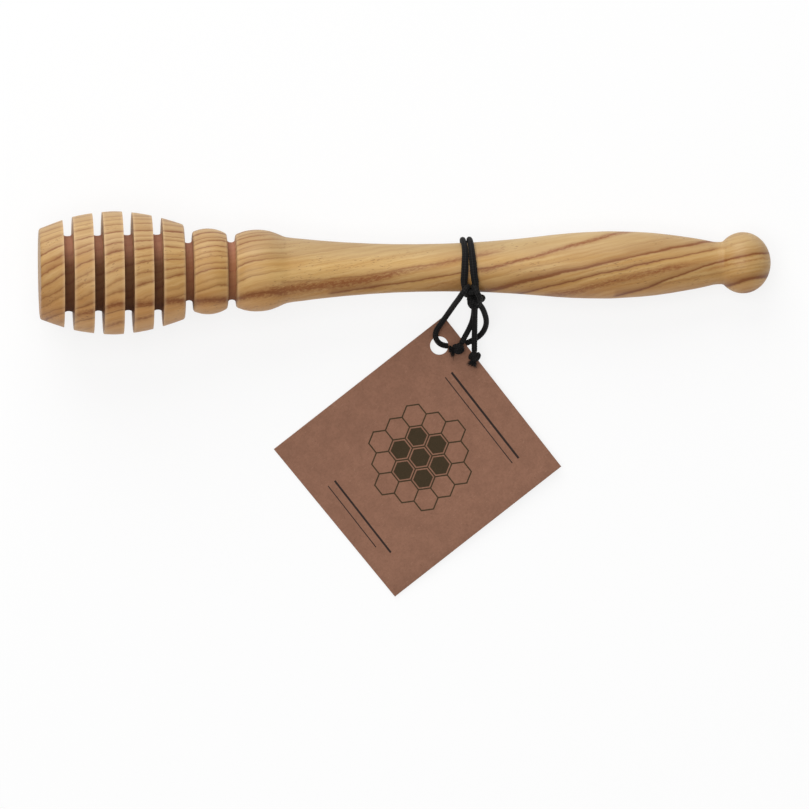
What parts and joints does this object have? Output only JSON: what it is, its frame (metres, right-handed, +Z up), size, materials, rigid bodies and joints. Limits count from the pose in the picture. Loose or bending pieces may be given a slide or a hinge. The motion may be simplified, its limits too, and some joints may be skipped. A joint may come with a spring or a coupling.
{
  "type": "honey dipper",
  "caption": "Turned wooden honey dipper with a grooved barrel head, a beaded collar, a waisted grip and a ball end, with a card tag tied round the grip by a knotted cord",
  "frame": {"origin": "on the table, under the middle of the dipper's bounding box", "axes": "+X runs from the head to the ball, +Y points away from the tag, +Z is up. The dipper lies on the head's belly and on the ball, so its own axis leans 2.8 degrees below +X"},
  "size_m": [0.165, 0.0878, 0.0277],
  "materials": {
    "olive_wood": "oiled, satin",
    "cord": "round braid, matt",
    "card": "uncoated kraft card, matt"
  },
  "bodies": {
    "dipper_body": {"dipper": "olive_wood"},
    "hitch": {"tie_wraps": "cord", "tie_knot": "cord"},
    "hanger": {"tag_loop": "cord", "left_tail": "cord", "right_tail": "cord", "left_end_knot": "cord", "right_end_knot": "cord"},
    "tag_body": {"tag": "card"}
  },
  "joints": [
    {"name": "tie_turn", "type": "hinge", "parent": "dipper_body", "child": "hitch", "pos_m": [0.01428, 0, 0.00996], "axis": [0.9988, 0, -0.0491], "continuous": true},
    {"name": "loop_lift", "type": "hinge", "parent": "hitch", "child": "hanger", "pos_m": [0.0145, -0.0096, 0.0078], "axis": [-1, 0, 0], "range_deg": [-45, 85]},
    {"name": "tag_swing", "type": "hinge", "parent": "hanger", "child": "tag_body", "pos_m": [0.00766, -0.01747, 0.00174], "axis": [-0.0275, -0.0208, 0.9994], "range_deg": [-35, 30]}
  ]
}
